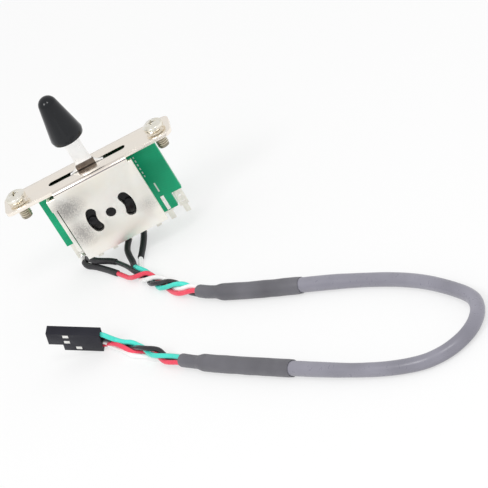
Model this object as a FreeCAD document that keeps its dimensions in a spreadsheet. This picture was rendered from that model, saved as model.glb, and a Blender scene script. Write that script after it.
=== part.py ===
import FreeCAD, Part
import math
import os

import Sketcher
from FreeCAD import Rotation, Vector

# Lever selector switch: a folded steel frame, a circuit board behind it with
# eight solder lugs, a moulded rotor between them that carries the lever, and a
# four-wire cable with a crimp plug.
# Millimetres. The origin is the middle of the lever slot on the flange's top
# face. +Z is up along the lever, +X along the flange, -Y towards the front
# plate, and the surface that the switch stands on is rest_depth below.

SIZES = {
    "rest_depth": 30.0,
    # folded steel frame
    "sheet_thickness": 1.0,
    "flange_length": 49.4,
    "flange_front": 4.4,
    "flange_back": 5.2,
    "flange_corner": 2.0,
    "fold_width": 21.8,
    "fold_radius_out": 1.3,
    "fold_radius_in": 0.3,
    "plate_width": 23.9,
    "plate_front": 5.7,
    "plate_depth": 22.3,
    "notch_depth": 1.7,
    "slot_length": 22.9,
    "slot_width": 2.0,
    "pivot_depth": 12.6,
    "kidney_radius": 5.4,
    "kidney_angle": 26.0,
    "kidney_width": 2.8,
    "wall_gap": 0.45,
    "wall_depth": 19.5,
    "ear_depth": 5.0,
    "wall_tang_top": 8.0,
    "wall_tang_bottom": 10.4,
    "foot_inner": 4.0,
    "foot_width": 5.0,
    "tang_width": 2.4,
    "tang_clearance": 0.15,
    "tang_reach": 1.2,
    "tang_twist": 25.0,
    # circuit board
    "board_front": 5.75,
    "board_thickness": 1.6,
    "board_width": 35.2,
    "board_top": 1.5,
    "board_shoulder": 21.9,
    "board_bottom": 26.2,
    "board_tongue": 28.6,
    "track_thickness": 0.09,
    "track_inner": 5.0,
    "track_outer": 6.8,
    "common_angle": 40.0,
    "stop_inner_angle": 14.0,
    "stop_middle_angle": 12.0,
    "pad_width": 1.0,
    "pad_height": 4.6,
    "pad_top": 21.3,
    "pad_offset": 0.5,
    "pad_thickness": 0.15,
    # solder lugs
    "lug_pitch": 4.5,
    "lug_thickness": 0.4,
    "lug_width": 2.6,
    "lug_tail_width": 1.5,
    "lug_seat": 3.2,
    "lug_outer_rise": 6.2,
    "lug_neck_drop": 1.4,
    "lug_hole_rise": 1.7,
    "lug_hole_radius": 0.4,
    "lug_slit_drop": 0.1,
    "lug_slit_width": 1.4,
    "lug_slit_height": 0.35,
    "solder_width": 1.9,
    "solder_thickness": 0.8,
    "solder_height": 3.3,
    "solder_lift": 0.1,
    # rotor
    "rotor_radius": 7.0,
    "rotor_gap": 0.2,
    "rotor_back": 3.0,
    "neck_width": 8.0,
    "neck_thickness": 3.6,
    "neck_top": 3.0,
    "front_boss_radius": 1.32,
    "rear_boss_radius": 1.5,
    "pivot_clearance": 0.06,
    "boss_proud": 0.05,
    "peg_radius": 1.15,
    "peg_sink": 0.2,
    # lever and tip
    "lever_thickness": 1.0,
    "lever_width": 4.4,
    "lever_foot_width": 6.0,
    "lever_shoulder_width": 9.8,
    "shoulder_top": 2.7,
    "shoulder_bottom": 2.6,
    "shoulder_arc": 2.75,
    "lever_bottom": 9.0,
    "lever_top": 18.9,
    "lever_clearance": 0.05,
    "tip_base": 9.8,
    "tip_base_radius": 4.3,
    "tip_rim": 11.0,
    "tip_rim_radius": 4.6,
    "tip_dome_radius": 2.6,
    "tip_top": 23.3,
    # detent and contacts
    "ball_radius": 1.5,
    "ball_orbit": 6.0,
    "ball_clearance": 0.05,
    "spring_radius": 1.2,
    "spring_wire": 0.2,
    "spring_pitch": 0.7,
    "spring_space": 2.0,
    "detent_width": 11.0,
    "detent_thickness": 4.0,
    "detent_top": 18.5,
    "notch_radius": 1.6,
    "notch_cut": 0.4,
    "wiper_thickness": 0.3,
    "wiper_width": 2.4,
    "wiper_root": 1.7,
    "wiper_bend": 3.8,
    "wiper_tip": 5.3,
    "wiper_end": 6.4,
    "wiper_clearance": 0.03,
    # mounting screws
    "screw_spacing": 41.3,
    "shank_radius": 1.45,
    "shank_clearance": 0.05,
    "shank_length": 6.0,
    "head_radius": 2.75,
    "head_height": 1.9,
    "head_lift": 0.8,
    "head_crown": 0.7,
    "crown_bend_radius": 1.92,
    "crown_bend_drop": 0.17,
    "recess_length": 2.6,
    "recess_width": 0.6,
    "recess_depth": 1.1,
    # cord and plug
    "wire_radius": 0.65,
    "lug_sleeve_radius": 0.88,
    "twist_radius": 1.6,
    "cable_radius": 1.9,
    "sleeve_narrow_radius": 1.7,
    "sleeve_wide_radius": 2.2,
    "plug_length": 14.1,
    "plug_thickness": 2.5,
    "plug_height": 7.6,
    "way_pitch": 2.54,
    "way_width": 1.7,
    "way_height": 1.7,
    "way_length": 12.9,
    "pin_hole": 0.7,
    "nose_cut": 3.8,
    "window_length": 1.6,
    "window_height": 1.3,
    "window_place": 8.3,
    "window_set_back": 2.8,
    "terminal_start": 2.5,
    "terminal_length": 9.8,
    "terminal_clearance": 0.05,
}

# The stiff wires hold the plug: its wire end touches the surface, its nose stands up and it leans
# forward. The middle of its wire end's lower edge, then degrees.
PLUG_PLACE = (-14.04, -38.3)
PLUG_HEADING = 163.0
PLUG_RISE = 22.9
PLUG_LEAN = 18.9
PLUG_LIFT_SHARE = math.cos(math.radians(PLUG_RISE)) * math.sin(math.radians(PLUG_LEAN))

# Cord routes, chosen by hand. Heights are above the surface.
LUG_SLEEVES = {
    "white": [(2.25, 6.55, 1.15), (2.2, 3.0, 1.0), (0.09, -5.17, 1.0)],
    "mint": [(-2.25, 6.55, 1.15), (-3.3, 2.6, 1.0), (-3.0, -2.04, 1.0), (-2.07, -8.4, 1.25)],
    "black": [(-14.6, 6.55, 1.5), (-13.6, 3.6, 2.3), (-11.2, 0.8, 2.3), (-6.9, -2.4, 1.5)],
    "red": [(-16.1, 6.55, 1.0), (-15.6, 4.2, 0.9), (-10.0, -2.9, 0.93), (-6.93, -7.84, 1.0)],
}
LEADS = {
    "white": [(0.09, -5.17, 1.0), (-0.4, -8.2, 0.8), (-0.4, -11.4, 0.94), (-0.64, -14.36, 0.94),
              (0.76, -16.55, 0.94)],
    "mint": [(-2.07, -8.4, 1.25), (-1.2, -12.0, 2.25), (-0.5, -14.55, 2.26), (0.76, -16.55, 2.26)],
    "black": [(-6.9, -2.4, 1.5), (-3.9, -8.6, 1.9), (-2.3, -13.2, 1.4), (-1.5, -15.45, 0.94),
              (-0.36, -17.25, 0.94)],
    "red": [(-6.93, -7.84, 1.0), (-5.35, -10.8, 1.1), (-3.3, -14.0, 2.0), (-1.6, -15.45, 2.26),
            (-0.36, -17.25, 2.26)],
}
TWIST_UPPER = [(0.2, -16.9, 1.6), (4.6, -23.8, 1.6), (10.5, -32.4, 2.2), (14.1, -37.0, 2.2)]
SLEEVE_UPPER = [(14.1, -37.0, 2.2), (19.1, -43.4, 2.2), (41.1, -58.2, 2.2)]
CABLE = [(41.1, -58.2, 2.2), (47.5, -62.5, 2.2), (55.6, -68.2, 1.9), (63.4, -74.7, 1.9),
         (70.0, -81.6, 1.9), (75.2, -88.9, 1.9), (80.0, -97.2, 1.9), (80.2, -103.1, 1.9),
         (77.8, -108.5, 1.9), (73.3, -112.2, 1.9), (67.6, -113.6, 1.9), (61.9, -112.4, 1.9),
         (53.6, -107.6, 1.9), (43.6, -100.0, 2.2), (33.6, -90.7, 2.2)]
SLEEVE_LOWER = [(6.1, -63.7, 2.2), (11.2, -69.8, 2.2), (33.6, -90.7, 2.2)]
TWIST_LOWER = [(6.1, -63.7, 2.2), (3.0, -60.0, 2.2), (-1.0, -53.2, 1.6), (-4.2, -48.2, 1.6),
               (-6.9, -44.8, 1.6)]
PLUG_LEADS = {
    "mint": [(-7.42, -45.21, 2.26), (-9.0, -44.0, 3.5), (-11.35, -41.27, 5.43), (-14.58, -40.28, 6.86)],
    "black": [(-6.38, -44.39, 2.26), (-8.5, -42.7, 2.4), (-12.0, -40.21, 3.22), (-15.23, -39.22, 4.65)],
    "white": [(-6.38, -44.39, 0.94), (-8.0, -42.3, 0.95), (-10.2, -40.0, 1.3), (-13.36, -39.44, 2.78)],
    "red": [(-7.42, -45.21, 0.94), (-9.3, -42.9, 0.75), (-12.66, -39.15, 1.0), (-15.89, -38.16, 2.43)],
}
ARC_SHARE = 0.45
VOLUME_SLACK = 0.01

LUG_COUNT = 8
WAY_COUNT = 3
LEADED_LUGS = {"red": 0, "mint": 3, "white": 4}
PADS_UNDER_FEET = (2, 5)
# A cut that goes right through is this many times as deep as the wall.
THROUGH = 1.2
# Two places closer than this are the same place.
SAME = 0.01


class Size:
    """A number together with the sheet expression that gives it."""

    def __init__(self, text, value):
        self.text = text
        self.value = value

    def _join(self, sign, other, value):
        return Size(f"({self.text} {sign} {other.text})", value)

    def __add__(self, other):
        other = as_size(other)
        return self._join("+", other, self.value + other.value)

    def __sub__(self, other):
        other = as_size(other)
        return self._join("-", other, self.value - other.value)

    def __mul__(self, other):
        other = as_size(other)
        return self._join("*", other, self.value * other.value)

    def __truediv__(self, other):
        other = as_size(other)
        return self._join("/", other, self.value / other.value)

    def __neg__(self):
        return Size(f"(0 - {self.text})", -self.value)


def as_size(number):
    if isinstance(number, Size):
        return number
    return Size(f"({number})", float(number))


def turned(radius, angle):
    """The two coordinates of a point at this radius and angle in degrees."""
    turn = math.radians(angle.value)
    across = Size(f"({radius.text} * cos({angle.text}))", radius.value * math.cos(turn))
    along = Size(f"({radius.text} * sin({angle.text}))", radius.value * math.sin(turn))
    return across, along


def fill_sheet(document):
    sheet = document.addObject("Spreadsheet::Sheet", "Sizes")
    for row, (name, value) in enumerate(SIZES.items(), start=1):
        sheet.set(f"A{row}", name)
        sheet.set(f"B{row}", str(value))
        sheet.setAlias(f"B{row}", name)
    document.recompute()
    return {name: Size(f"Sizes.{name}", float(value)) for name, value in SIZES.items()}


doc = FreeCAD.newDocument("selector_switch")
size = fill_sheet(doc)
ZERO = as_size(0)
NODES = {}

# Places that several pieces share.
plate_back = -(size["plate_front"] - size["sheet_thickness"])
pivot = (ZERO, -size["pivot_depth"])
board_back = size["board_front"] + size["board_thickness"]
floor = -size["rest_depth"]
foot_top = -(size["plate_depth"] - size["sheet_thickness"])
rotor_front = plate_back + size["rotor_gap"]
screw_x = size["screw_spacing"] / 2


def new_body(label):
    body = doc.addObject("PartDesign::Body", label)
    body.Label = label
    NODES[label] = body
    return body


def new_sketch(body, name, role, offset=ZERO):
    """A sketch on one of the body's own origin planes, moved along its normal."""
    sketch = body.newObject("Sketcher::SketchObject", name)
    plane = [item for item in body.Origin.OriginFeatures if item.Role == role][0]
    sketch.AttachmentSupport = [(plane, "")]
    sketch.MapMode = "FlatFace"
    sketch.setExpression("AttachmentOffset.Base.z", offset.text)
    return sketch


def front_sketch(body, name, y):
    """A sketch in X and Z at this y. Its normal is -Y."""
    return new_sketch(body, name, "XZ_Plane", -y)


def level_sketch(body, name, z):
    return new_sketch(body, name, "XY_Plane", z)


def side_sketch(body, name, x):
    return new_sketch(body, name, "YZ_Plane", x)


def limit(sketch, kind, value, *where):
    index = sketch.addConstraint(Sketcher.Constraint(kind, *where, value.value))
    sketch.setExpression(f"Constraints[{index}]", value.text)


def place(sketch, edge, point, u, v):
    limit(sketch, "DistanceX", u, -1, 1, edge, point)
    limit(sketch, "DistanceY", v, -1, 1, edge, point)


def polygon(sketch, corners):
    first = sketch.GeometryCount
    count = len(corners)
    for index in range(count):
        u, v = corners[index]
        next_u, next_v = corners[(index + 1) % count]
        start = Vector(u.value, v.value, 0)
        sketch.addGeometry(Part.LineSegment(start, Vector(next_u.value, next_v.value, 0)))
    for index in range(count):
        follower = first + (index + 1) % count
        sketch.addConstraint(Sketcher.Constraint("Coincident", first + index, 2, follower, 1))
    for index, (u, v) in enumerate(corners):
        place(sketch, first + index, 1, u, v)


def rectangle(sketch, low_u, high_u, low_v, high_v):
    polygon(sketch, [(low_u, low_v), (high_u, low_v), (high_u, high_v), (low_u, high_v)])


def circle(sketch, u, v, radius):
    centre = Vector(u.value, v.value, 0)
    edge = sketch.addGeometry(Part.Circle(centre, Vector(0, 0, 1), radius.value))
    place(sketch, edge, 3, u, v)
    limit(sketch, "Radius", radius, edge)


def arc(centre, radius, start, end):
    ring = Part.Circle(Vector(centre[0], centre[1], 0), Vector(0, 0, 1), radius)
    return Part.ArcOfCircle(ring, math.radians(start), math.radians(end))


def ring_arc(sketch, centre, radius, middle, half_angle):
    """An arc about centre, held by its radius and the heights of its ends."""
    at = (centre[0].value, centre[1].value)
    span = half_angle.value
    edge = sketch.addGeometry(arc(at, radius.value, middle - span, middle + span))
    place(sketch, edge, 3, *centre)
    limit(sketch, "Radius", radius, edge)
    side = 1 if middle == 0 else -1
    rise = turned(radius, half_angle)[1] * side
    limit(sketch, "DistanceY", centre[1] - rise, -1, 1, edge, 1)
    limit(sketch, "DistanceY", centre[1] + rise, -1, 1, edge, 2)
    return edge


def kidney(sketch, centre, radius, half_angle, half_width, middle):
    """A slot bent round centre, with round ends. It opens at 0 or 180 degrees."""
    outer = ring_arc(sketch, centre, radius + half_width, middle, half_angle)
    inner = ring_arc(sketch, centre, radius - half_width, middle, half_angle)
    side = 1 if middle == 0 else -1
    rise = turned(radius, half_angle)[1] * side
    for sign, join in ((1, 2), (-1, 1)):
        heading = middle + sign * half_angle.value
        turn = math.radians(heading)
        at = (centre[0].value + radius.value * math.cos(turn),
              centre[1].value + radius.value * math.sin(turn))
        start = heading if sign > 0 else heading + 180
        cap = sketch.addGeometry(arc(at, half_width.value, start, start + 180))
        near, far = (1, 2) if sign > 0 else (2, 1)
        sketch.addConstraint(Sketcher.Constraint("Coincident", cap, near, outer, join))
        sketch.addConstraint(Sketcher.Constraint("Coincident", cap, far, inner, join))
        limit(sketch, "DistanceY", centre[1] + rise * sign, -1, 1, cap, 3)


def stadium(sketch, half_length, half_width):
    """A slot along u with round ends, centred on the sketch's origin."""
    reach = half_length.value - half_width.value
    wide = half_width.value
    top = sketch.addGeometry(Part.LineSegment(Vector(reach, wide, 0), Vector(-reach, wide, 0)))
    left = sketch.addGeometry(arc((-reach, 0), wide, 90, 270))
    low = sketch.addGeometry(Part.LineSegment(Vector(-reach, -wide, 0), Vector(reach, -wide, 0)))
    right = sketch.addGeometry(arc((reach, 0), wide, -90, 90))
    for first, second in ((top, left), (left, low), (low, right), (right, top)):
        sketch.addConstraint(Sketcher.Constraint("Coincident", first, 2, second, 1))
    centre = half_length - half_width
    limit(sketch, "DistanceX", -centre, -1, 1, left, 3)
    limit(sketch, "DistanceX", centre, -1, 1, right, 3)
    for edge, u, v in ((top, centre, half_width), (low, -centre, -half_width)):
        place(sketch, edge, 1, u, v)
        place(sketch, edge, 2, -u, v)


def pad(body, sketch, length, reverse=False):
    feature = body.newObject("PartDesign::Pad", f"{sketch.Name}_pad")
    feature.Profile = sketch
    feature.Reversed = reverse
    feature.setExpression("Length", length.text)
    doc.recompute()
    return feature


def pocket(body, sketch, depth, reverse=False):
    """A cut against the sketch's normal, or along it, which must take metal."""
    before = body.Shape.Volume
    feature = body.newObject("PartDesign::Pocket", f"{sketch.Name}_cut")
    feature.Profile = sketch
    feature.Reversed = reverse
    feature.setExpression("Length", depth.text)
    doc.recompute()
    if body.Shape.Volume >= before:
        raise ValueError(f"{sketch.Name} cuts nothing")
    return feature


def revolve(body, sketch):
    feature = body.newObject("PartDesign::Revolution", f"{sketch.Name}_turned")
    feature.Profile = sketch
    feature.ReferenceAxis = (sketch, ["V_Axis"])
    feature.Angle = 360
    doc.recompute()
    return feature


def fillet(body, edges, radius):
    """Round the body's edges that the test picks out."""
    last = body.Tip
    names = [f"Edge{number}" for number, edge in enumerate(last.Shape.Edges, start=1) if edges(edge)]
    feature = body.newObject("PartDesign::Fillet", f"{body.Name}_fillet")
    feature.Base = (last, names)
    feature.setExpression("Radius", radius.text)
    doc.recompute()
    return feature


def near(first, second):
    return abs(first - second) < SAME


def make_frame():
    body = new_body("frame")
    thick = size["sheet_thickness"]
    half_flange = size["flange_length"] / 2
    half_plate = size["plate_width"] / 2
    front = -size["plate_front"]

    sketch = level_sketch(body, "flange", ZERO)
    rectangle(sketch, -half_flange, half_flange, -size["flange_front"], size["flange_back"])
    pad(body, sketch, thick, reverse=True)
    end = half_flange.value
    fillet(body, lambda edge: near(edge.BoundBox.XLength, 0) and near(edge.BoundBox.YLength, 0)
           and near(abs(edge.BoundBox.Center.x), end), size["flange_corner"])

    sketch = side_sketch(body, "fold", -size["fold_width"] / 2)
    polygon(sketch, [(front, ZERO), (-(size["flange_front"] - thick), ZERO),
                     (-(size["flange_front"] - thick), -thick), (plate_back, -thick),
                     (plate_back, -(size["notch_depth"] + thick)), (front, -(size["notch_depth"] + thick))])
    pad(body, sketch, size["fold_width"])

    sketch = front_sketch(body, "plate", plate_back)
    rectangle(sketch, -half_plate, half_plate, -size["plate_depth"], -size["notch_depth"])
    pad(body, sketch, thick)

    wall_inner = -(half_plate + size["wall_gap"])
    wall_outer = wall_inner - thick
    sketch = front_sketch(body, "ear", plate_back)
    rectangle(sketch, wall_outer, -(half_plate - thick), -size["ear_depth"], -size["notch_depth"])
    pad(body, sketch, thick)
    sketch = front_sketch(body, "side_wall", size["board_front"])
    rectangle(sketch, wall_outer, wall_inner, -size["wall_depth"], -size["notch_depth"])
    pad(body, sketch, size["board_front"] - plate_back)
    tang_length = size["board_thickness"] + size["tang_reach"]
    sketch = front_sketch(body, "wall_tang", size["board_front"])
    rectangle(sketch, wall_outer, wall_inner, -size["wall_tang_bottom"], -size["wall_tang_top"])
    pad(body, sketch, tang_length, reverse=True)

    sketch = front_sketch(body, "feet", size["board_front"])
    foot_outer = size["foot_inner"] + size["foot_width"]
    rectangle(sketch, -foot_outer, -size["foot_inner"], -size["plate_depth"], foot_top)
    rectangle(sketch, size["foot_inner"], foot_outer, -size["plate_depth"], foot_top)
    pad(body, sketch, size["board_front"] - plate_back)

    middle = size["foot_inner"] + size["foot_width"] / 2
    half_tang = size["tang_width"] / 2
    sketch = front_sketch(body, "tangs", size["board_front"])
    for side in (-1, 1):
        rectangle(sketch, middle * side - half_tang, middle * side + half_tang,
                  -size["plate_depth"], foot_top)
    pad(body, sketch, size["board_thickness"] + size["tang_clearance"] * 2, reverse=True)
    sketch = front_sketch(body, "twisted_ends", board_back + size["tang_clearance"])
    centre_z = foot_top - thick / 2
    for side in (-1, 1):
        wide = turned(half_tang, size["tang_twist"])
        tall = turned(thick / 2, size["tang_twist"])
        corners = []
        for a, b in ((-1, -1), (1, -1), (1, 1), (-1, 1)):
            corners.append((middle * side + wide[0] * a - tall[1] * b,
                            centre_z + wide[1] * a + tall[0] * b))
        polygon(sketch, corners)
    pad(body, sketch, size["tang_reach"], reverse=True)

    sketch = level_sketch(body, "lever_slot", ZERO)
    stadium(sketch, size["slot_length"] / 2, size["slot_width"] / 2)
    pocket(body, sketch, thick * THROUGH)
    sketch = level_sketch(body, "screw_holes", ZERO)
    for side in (-1, 1):
        circle(sketch, screw_x * side, ZERO, size["shank_radius"] + size["shank_clearance"])
    pocket(body, sketch, thick * THROUGH)
    sketch = front_sketch(body, "pivot_hole", front)
    circle(sketch, *pivot, size["front_boss_radius"] + size["pivot_clearance"])
    pocket(body, sketch, thick * THROUGH)
    for name, middle_angle in (("kidney_right", 0), ("kidney_left", 180)):
        sketch = front_sketch(body, name, front)
        kidney(sketch, pivot, size["kidney_radius"], size["kidney_angle"], size["kidney_width"] / 2,
               middle_angle)
        pocket(body, sketch, thick * THROUGH)

    reach = size["fold_width"].value / 2
    outer_y = front.value
    inner_y = plate_back.value
    fillet(body, lambda edge: near(edge.BoundBox.Center.z, 0) and near(edge.BoundBox.Center.y, outer_y)
           and edge.BoundBox.XLength > reach, size["fold_radius_out"])
    fillet(body, lambda edge: near(edge.BoundBox.Center.z, -thick.value)
           and near(edge.BoundBox.Center.y, inner_y) and edge.BoundBox.XLength > reach,
           size["fold_radius_in"])


def make_board():
    body = new_body("circuit_board")
    half = size["board_width"] / 2
    tongue = size["board_tongue"] / 2
    sketch = front_sketch(body, "board_outline", size["board_front"])
    polygon(sketch, [(-half, -size["board_top"]), (half, -size["board_top"]),
                     (half, -size["board_shoulder"]), (tongue, -size["board_shoulder"]),
                     (tongue, -size["board_bottom"]), (-tongue, -size["board_bottom"]),
                     (-tongue, -size["board_shoulder"]), (-half, -size["board_shoulder"])])
    pad(body, sketch, size["board_thickness"], reverse=True)

    clear = size["tang_clearance"]
    through = size["board_thickness"] * THROUGH
    sketch = front_sketch(body, "board_pivot", size["board_front"])
    circle(sketch, *pivot, size["rear_boss_radius"] + size["pivot_clearance"])
    pocket(body, sketch, through)
    sketch = front_sketch(body, "board_slots", size["board_front"])
    middle = size["foot_inner"] + size["foot_width"] / 2
    half_tang = size["tang_width"] / 2 + clear
    for side in (-1, 1):
        rectangle(sketch, middle * side - half_tang, middle * side + half_tang,
                  -size["plate_depth"] - clear, foot_top + clear)
    wall_inner = -(size["plate_width"] / 2 + size["wall_gap"])
    rectangle(sketch, wall_inner - size["sheet_thickness"] - clear, wall_inner + clear,
              -size["wall_tang_bottom"] - clear, -size["wall_tang_top"] + clear)
    pocket(body, sketch, through)


def track_sector(start, end):
    """A flat ring sector on the board's front face, angles from +X towards +Z."""
    thick = SIZES["track_thickness"]
    base = Vector(0, SIZES["board_front"], -SIZES["pivot_depth"])
    sector = []
    for radius in (SIZES["track_outer"], SIZES["track_inner"]):
        sector.append(Part.makeCylinder(radius, thick, Vector(0, 0, 0), Vector(0, 0, 1), end - start))
    shape = sector[0].cut(sector[1])
    shape.rotate(Vector(0, 0, 0), Vector(0, 0, 1), start)
    shape.rotate(Vector(0, 0, 0), Vector(1, 0, 0), 90)
    shape.translate(base)
    return shape


def add_shape(label, shape):
    feature = doc.addObject("Part::Feature", label)
    feature.Shape = shape
    feature.Label = label
    NODES[label] = feature
    return feature


def make_tracks():
    common = SIZES["common_angle"]
    inner = SIZES["stop_inner_angle"]
    middle = SIZES["stop_middle_angle"]
    sectors = [track_sector(-common, common), track_sector(180 - common, 180 - inner),
               track_sector(180 - middle, 180 + middle), track_sector(180 + inner, 180 + common)]
    add_shape("contact_tracks", Part.makeCompound(sectors))


def box(name, low, lengths):
    """A block whose corner and sides follow the sheet."""
    block = doc.addObject("Part::Box", name)
    for prop, length in zip(("Length", "Width", "Height"), lengths):
        block.setExpression(prop, length.text)
    for axis, value in zip("xyz", low):
        block.setExpression(f"Placement.Base.{axis}", value.text)
    return block


def lug_x(number):
    return size["lug_pitch"] * (number - (LUG_COUNT - 1) / 2)


def make_pads():
    blocks = []
    for number in range(1, LUG_COUNT - 1):
        middle = lug_x(number) + size["pad_offset"]
        height = size["pad_height"]
        if number in PADS_UNDER_FEET:
            height = size["pad_top"] + height - size["plate_depth"] - size["tang_clearance"]
        low = (middle - size["pad_width"] / 2, size["board_front"] - size["pad_thickness"],
               -size["pad_top"] - size["pad_height"])
        blocks.append(box(f"tinned_pad_{number}", low,
                          (size["pad_width"], size["pad_thickness"], height)))
    group = doc.addObject("Part::Compound", "solder_pads")
    group.Links = blocks
    NODES["solder_pads"] = group


def make_lug(number):
    label = f"solder_lug_{number + 1}"
    body = new_body(label)
    middle = lug_x(number)
    half = size["lug_width"] / 2
    tail = size["lug_tail_width"] / 2
    edge = -size["board_bottom"]
    top = edge + size["lug_seat"]
    if number in (0, LUG_COUNT - 1):
        top = edge + size["lug_outer_rise"]
    neck = edge - size["lug_neck_drop"]
    sketch = front_sketch(body, f"lug_outline_{number}", board_back)
    polygon(sketch, [(middle - half, top), (middle + half, top), (middle + half, neck),
                     (middle + tail, neck), (middle + tail, floor), (middle - tail, floor),
                     (middle - tail, neck), (middle - half, neck)])
    pad(body, sketch, size["lug_thickness"], reverse=True)
    sketch = front_sketch(body, f"lug_eye_{number}", board_back)
    circle(sketch, middle, edge + size["lug_hole_rise"], size["lug_hole_radius"])
    half_slit = size["lug_slit_width"] / 2
    slit_top = edge - size["lug_slit_drop"]
    rectangle(sketch, middle - half_slit, middle + half_slit, slit_top - size["lug_slit_height"], slit_top)
    pocket(body, sketch, size["lug_thickness"] * THROUGH)


def make_solder():
    blocks = []
    for colour, number in LEADED_LUGS.items():
        low = (lug_x(number) - size["solder_width"] / 2, board_back - size["solder_thickness"],
               floor + size["solder_lift"])
        blocks.append(box(f"solder_{colour}", low,
                          (size["solder_width"], size["solder_thickness"], size["solder_height"])))
    group = doc.addObject("Part::Compound", "solder_joints")
    group.Links = blocks
    NODES["solder_joints"] = group


def make_rotor():
    body = new_body("rotor")
    back = size["rotor_back"]
    sketch = front_sketch(body, "rotor_disc", back)
    circle(sketch, *pivot, size["rotor_radius"])
    pad(body, sketch, back - rotor_front)
    half_neck = size["neck_thickness"] / 2
    sketch = front_sketch(body, "rotor_neck", half_neck)
    rectangle(sketch, -size["neck_width"] / 2, size["neck_width"] / 2, pivot[1], -size["neck_top"])
    pad(body, sketch, size["neck_thickness"])
    sketch = front_sketch(body, "front_boss", rotor_front)
    circle(sketch, *pivot, size["front_boss_radius"])
    pad(body, sketch, rotor_front + size["plate_front"] + size["boss_proud"])
    sketch = front_sketch(body, "pegs", rotor_front)
    for side in (-1, 1):
        circle(sketch, size["kidney_radius"] * side, pivot[1], size["peg_radius"])
    pad(body, sketch, rotor_front + size["plate_front"] - size["peg_sink"])
    sketch = front_sketch(body, "rear_boss", back)
    circle(sketch, *pivot, size["rear_boss_radius"])
    pad(body, sketch, board_back - back - size["rotor_gap"], reverse=True)

    clear = size["lever_clearance"]
    half_slot = size["lever_thickness"] / 2 + clear
    half_foot = size["lever_foot_width"] / 2 + clear
    sketch = level_sketch(body, "blade_slot", -size["neck_top"])
    rectangle(sketch, -half_foot, half_foot, -half_slot, half_slot)
    pocket(body, sketch, size["lever_bottom"] + clear - size["neck_top"])
    sketch = level_sketch(body, "ball_bore", pivot[1] - size["rotor_radius"])
    circle(sketch, ZERO, ZERO, size["ball_radius"] + size["ball_clearance"])
    pocket(body, sketch, size["rotor_radius"] - size["spring_space"], reverse=True)


def make_lever():
    body = new_body("lever")
    half = size["lever_width"] / 2
    shoulder = size["lever_shoulder_width"] / 2
    foot = size["lever_foot_width"] / 2
    sketch = front_sketch(body, "blade", size["lever_thickness"] / 2)
    right = [(foot, -size["lever_bottom"]), (foot, -size["shoulder_bottom"]),
             (shoulder, -size["shoulder_bottom"]), (shoulder, size["shoulder_top"]),
             (half, size["shoulder_top"]), (half, size["lever_top"])]
    left = [(-u, v) for u, v in reversed(right)]
    polygon(sketch, right + left)
    pad(body, sketch, size["lever_thickness"])
    sketch = front_sketch(body, "shoulder_curves", -size["lever_thickness"] / 2)
    for side in (-1, 1):
        circle(sketch, (half + size["shoulder_arc"]) * side, size["shoulder_top"], size["shoulder_arc"])
    pocket(body, sketch, size["lever_thickness"] * THROUGH)


def make_tip():
    body = new_body("lever_tip")
    base = size["tip_base"]
    centre = size["tip_top"] - size["tip_dome_radius"]
    rim = (SIZES["tip_rim_radius"], SIZES["tip_rim"])
    dome = SIZES["tip_dome_radius"]
    rise = centre.value - rim[1]
    tangent = math.degrees(math.atan2(rim[0], rise) - math.asin(dome / math.hypot(rim[0], rise)))
    touch = Vector(dome * math.cos(math.radians(tangent)),
                   centre.value + dome * math.sin(math.radians(tangent)), 0)
    sketch = front_sketch(body, "tip_profile", ZERO)
    foot = Vector(0, base.value, 0)
    edge = Vector(SIZES["tip_base_radius"], base.value, 0)
    corner = Vector(rim[0], rim[1], 0)
    crown = Vector(0, SIZES["tip_top"], 0)
    lines = [(foot, edge), (edge, corner), (corner, touch)]
    for start, finish in lines:
        sketch.addGeometry(Part.LineSegment(start, finish))
    cap = sketch.addGeometry(arc((0, centre.value), dome, tangent, 90))
    axis = sketch.addGeometry(Part.LineSegment(crown, foot))
    sketch.addConstraint(Sketcher.Constraint("Coincident", 0, 2, 1, 1))
    sketch.addConstraint(Sketcher.Constraint("Coincident", 1, 2, 2, 1))
    sketch.addConstraint(Sketcher.Constraint("Tangent", 2, 2, cap, 1))
    sketch.addConstraint(Sketcher.Constraint("Coincident", cap, 2, axis, 1))
    sketch.addConstraint(Sketcher.Constraint("Coincident", axis, 2, 0, 1))
    sketch.addConstraint(Sketcher.Constraint("Vertical", axis))
    place(sketch, 0, 1, ZERO, base)
    place(sketch, 0, 2, size["tip_base_radius"], base)
    place(sketch, 1, 2, size["tip_rim_radius"], size["tip_rim"])
    place(sketch, cap, 3, ZERO, centre)
    limit(sketch, "Radius", size["tip_dome_radius"], cap)
    revolve(body, sketch)
    clear = size["lever_clearance"]
    half_u = size["lever_width"] / 2 + clear
    half_v = size["lever_thickness"] / 2 + clear
    sketch = level_sketch(body, "blade_pocket", base)
    rectangle(sketch, -half_u, half_u, -half_v, half_v)
    pocket(body, sketch, size["lever_top"] + clear - base, reverse=True)


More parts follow.
